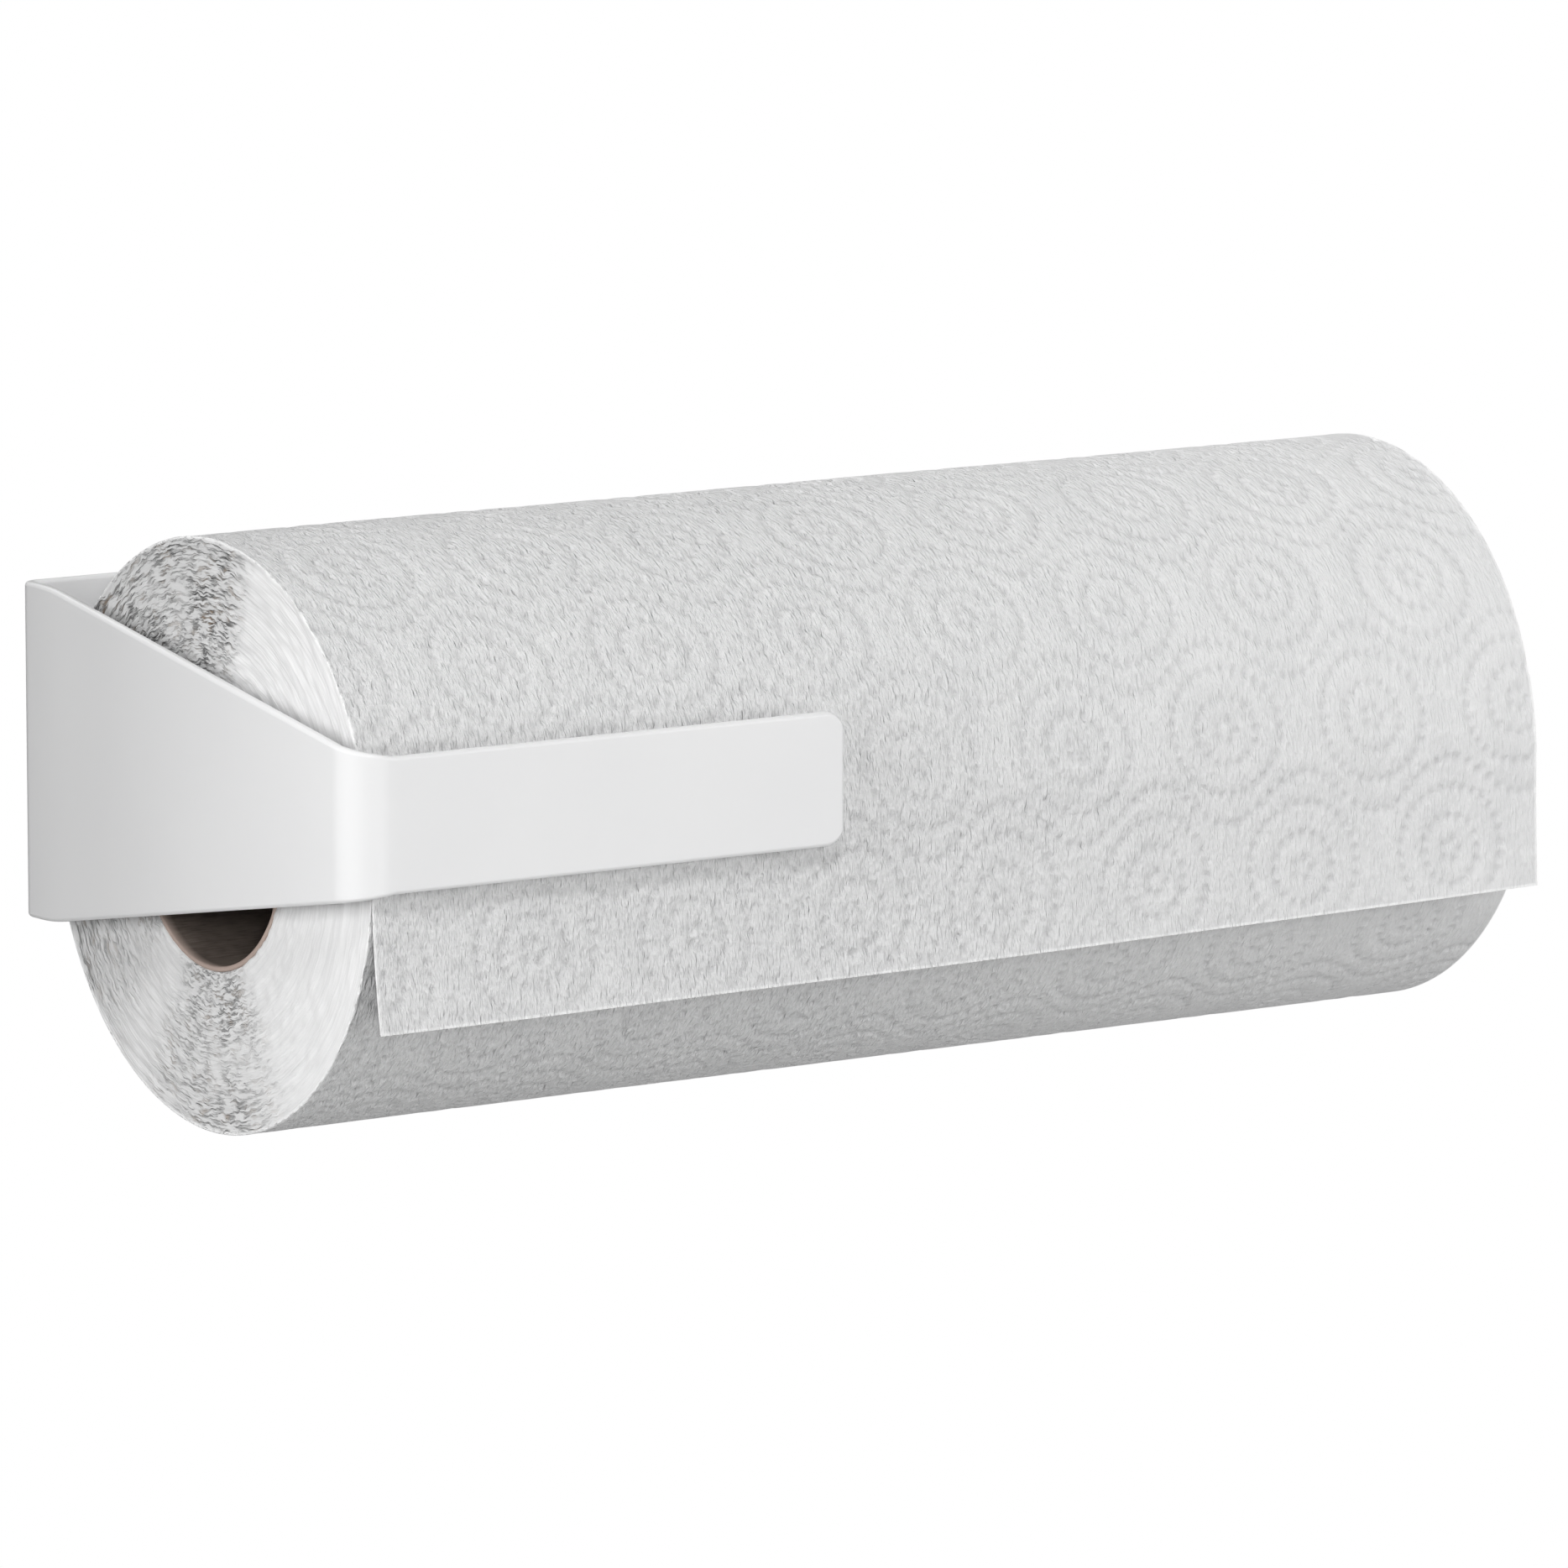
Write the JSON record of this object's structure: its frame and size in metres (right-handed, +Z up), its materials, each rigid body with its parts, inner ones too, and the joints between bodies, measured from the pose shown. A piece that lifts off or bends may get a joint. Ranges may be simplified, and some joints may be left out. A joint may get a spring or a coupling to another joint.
{
  "type": "paper towel holder",
  "caption": "Wall holder folded from sheet steel: a side-held rod carries a paper roll, and a short front strip presses the loose sheet for one-hand tearing.",
  "frame": {"origin": "middle of the four screw holes, on the face of the back plate that lies against the wall", "axes": "+X along the roll towards its free end, +Y into the wall, +Z up"},
  "size_m": [0.2653, 0.1146, 0.108],
  "materials": {
    "powder_coat": "satin",
    "stud_steel": "satin",
    "spigot_aluminium": "satin",
    "screw_steel": "satin",
    "collar_plastic": "matte",
    "rod_steel": "satin",
    "plug_plastic": "satin",
    "sheet_paper": "matte",
    "roll_paper": "matte",
    "core_cardboard": "matte"
  },
  "bodies": {
    "holder": {"wall_bracket": "powder_coat", "weld_stud": "stud_steel", "rod_spigot": "spigot_aluminium", "grub_screw": "screw_steel", "spacer_collar": "collar_plastic", "roll_rod": "rod_steel", "end_plug": "plug_plastic"},
    "sheet": {"loose_sheet": "sheet_paper"},
    "roll": {"paper_roll": "roll_paper", "cardboard_core": "core_cardboard"}
  },
  "joints": [
    {"name": "roll_slide", "type": "slide", "parent": "holder", "child": "sheet", "axis": [1, 0, 0], "range_m": [0, 0.27]},
    {"name": "roll_spin", "type": "hinge", "parent": "sheet", "child": "roll", "pos_m": [0.06, -0.0568, -0.0092], "axis": [1, 0, 0], "continuous": true}
  ]
}
